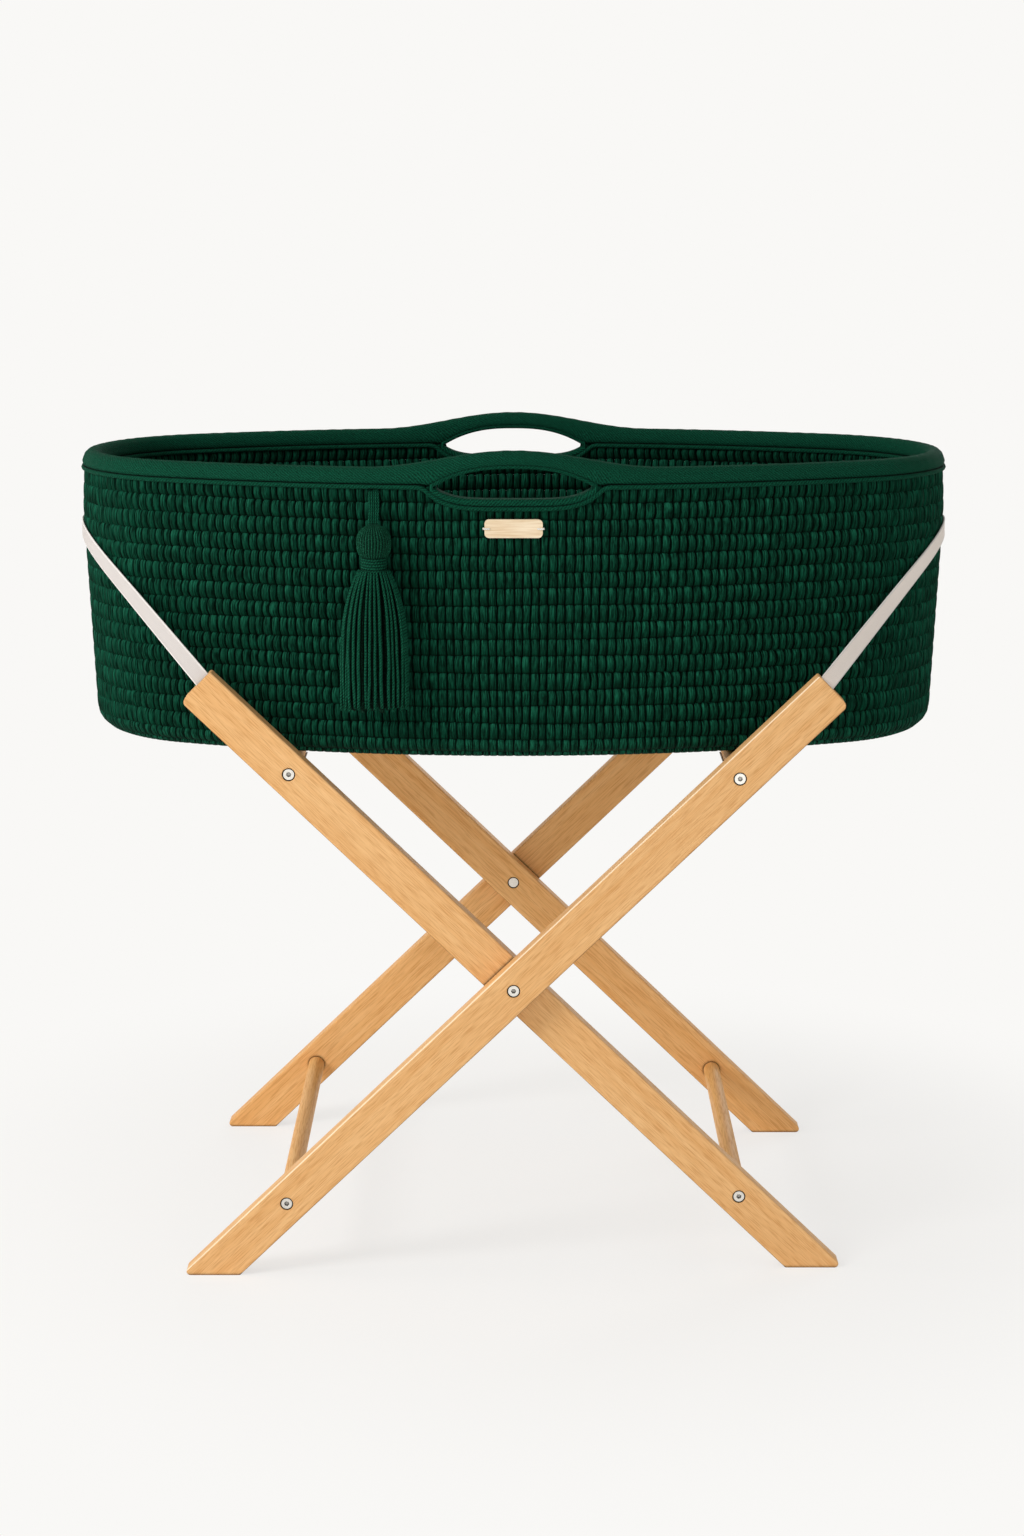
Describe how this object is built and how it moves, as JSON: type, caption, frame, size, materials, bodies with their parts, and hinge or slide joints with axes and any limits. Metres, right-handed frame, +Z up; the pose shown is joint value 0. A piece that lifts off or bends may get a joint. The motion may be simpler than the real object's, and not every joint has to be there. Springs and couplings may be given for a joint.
{
  "type": "moses basket stand",
  "caption": "Folding beech stand of crossed legs that carries a lift-off oval rope moses basket on its dowels, with a webbing strap round each basket end.",
  "frame": {"origin": "floor, under the middle of the stand and basket", "axes": "+X along the basket towards the outer frame's top, +Y from front to rear, +Z up"},
  "size_m": [0.7986, 0.4464, 0.734],
  "materials": {
    "beech": "clear satin lacquer",
    "bolt_steel": "zinc plated",
    "insert_brass": "plain",
    "washer_nylon": "matt",
    "webbing": "woven cotton tape",
    "rope": "stitched cotton rope",
    "binding": "cotton twill tape",
    "plate_wood": "sanded",
    "thread": "waxed thread"
  },
  "bodies": {
    "outer_frame": {"outer_rail_front": "beech", "outer_rail_rear": "beech", "outer_upper_dowel": "beech", "outer_lower_dowel": "beech", "outer_upper_bolt_front": "bolt_steel", "outer_upper_insert_front": "insert_brass", "outer_upper_bolt_rear": "bolt_steel", "outer_upper_insert_rear": "insert_brass", "outer_lower_bolt_front": "bolt_steel", "outer_lower_insert_front": "insert_brass", "outer_lower_bolt_rear": "bolt_steel", "outer_lower_insert_rear": "insert_brass", "outer_end_strap": "webbing", "outer_strap_screw_front": "bolt_steel", "outer_strap_screw_rear": "bolt_steel", "pivot_bolt_front": "bolt_steel", "pivot_nut_front": "bolt_steel", "pivot_washer_front": "washer_nylon", "spreader_strap_front": "webbing", "pivot_bolt_rear": "bolt_steel", "pivot_nut_rear": "bolt_steel", "pivot_washer_rear": "washer_nylon", "spreader_strap_rear": "webbing"},
    "inner_frame": {"inner_rail_front": "beech", "inner_rail_rear": "beech", "inner_upper_dowel": "beech", "inner_lower_dowel": "beech", "inner_upper_bolt_front": "bolt_steel", "inner_upper_insert_front": "insert_brass", "inner_upper_bolt_rear": "bolt_steel", "inner_upper_insert_rear": "insert_brass", "inner_lower_bolt_front": "bolt_steel", "inner_lower_insert_front": "insert_brass", "inner_lower_bolt_rear": "bolt_steel", "inner_lower_insert_rear": "insert_brass", "inner_end_strap": "webbing", "inner_strap_screw_front": "bolt_steel", "inner_strap_screw_rear": "bolt_steel"},
    "basket": {"basket_wall": "rope", "basket_base": "rope", "rim_binding": "binding", "handle_binding_front": "binding", "handle_binding_rear": "binding", "blank_plate": "plate_wood", "plate_stitch_left": "thread", "plate_stitch_right": "thread", "tassel_stitch": "binding"},
    "tassel": {"tassel_loop": "binding", "tassel_ball": "rope", "tassel_neck": "binding", "tassel_skirt": "rope"}
  },
  "joints": [
    {"name": "frame_fold", "type": "hinge", "parent": "outer_frame", "child": "inner_frame", "pos_m": [0, 0, 0.26236], "axis": [0, 1, 0], "range_deg": [0, 86], "deforming": ["inner_end_strap", "spreader_strap_front", "spreader_strap_rear"]},
    {"name": "basket_lift", "type": "slide", "parent": "outer_frame", "child": "basket", "axis": [0, 0, 1], "range_m": [0, 0.545]},
    {"name": "tassel_swing", "type": "hinge", "parent": "basket", "child": "tassel", "pos_m": [-0.12, -0.195, 0.69814], "axis": [-1, 0, 0], "range_deg": [0, 70]}
  ],
  "couplings": [
    {"joint": "basket_lift", "follows": "frame_fold", "m_per_rad": 0.36}
  ]
}
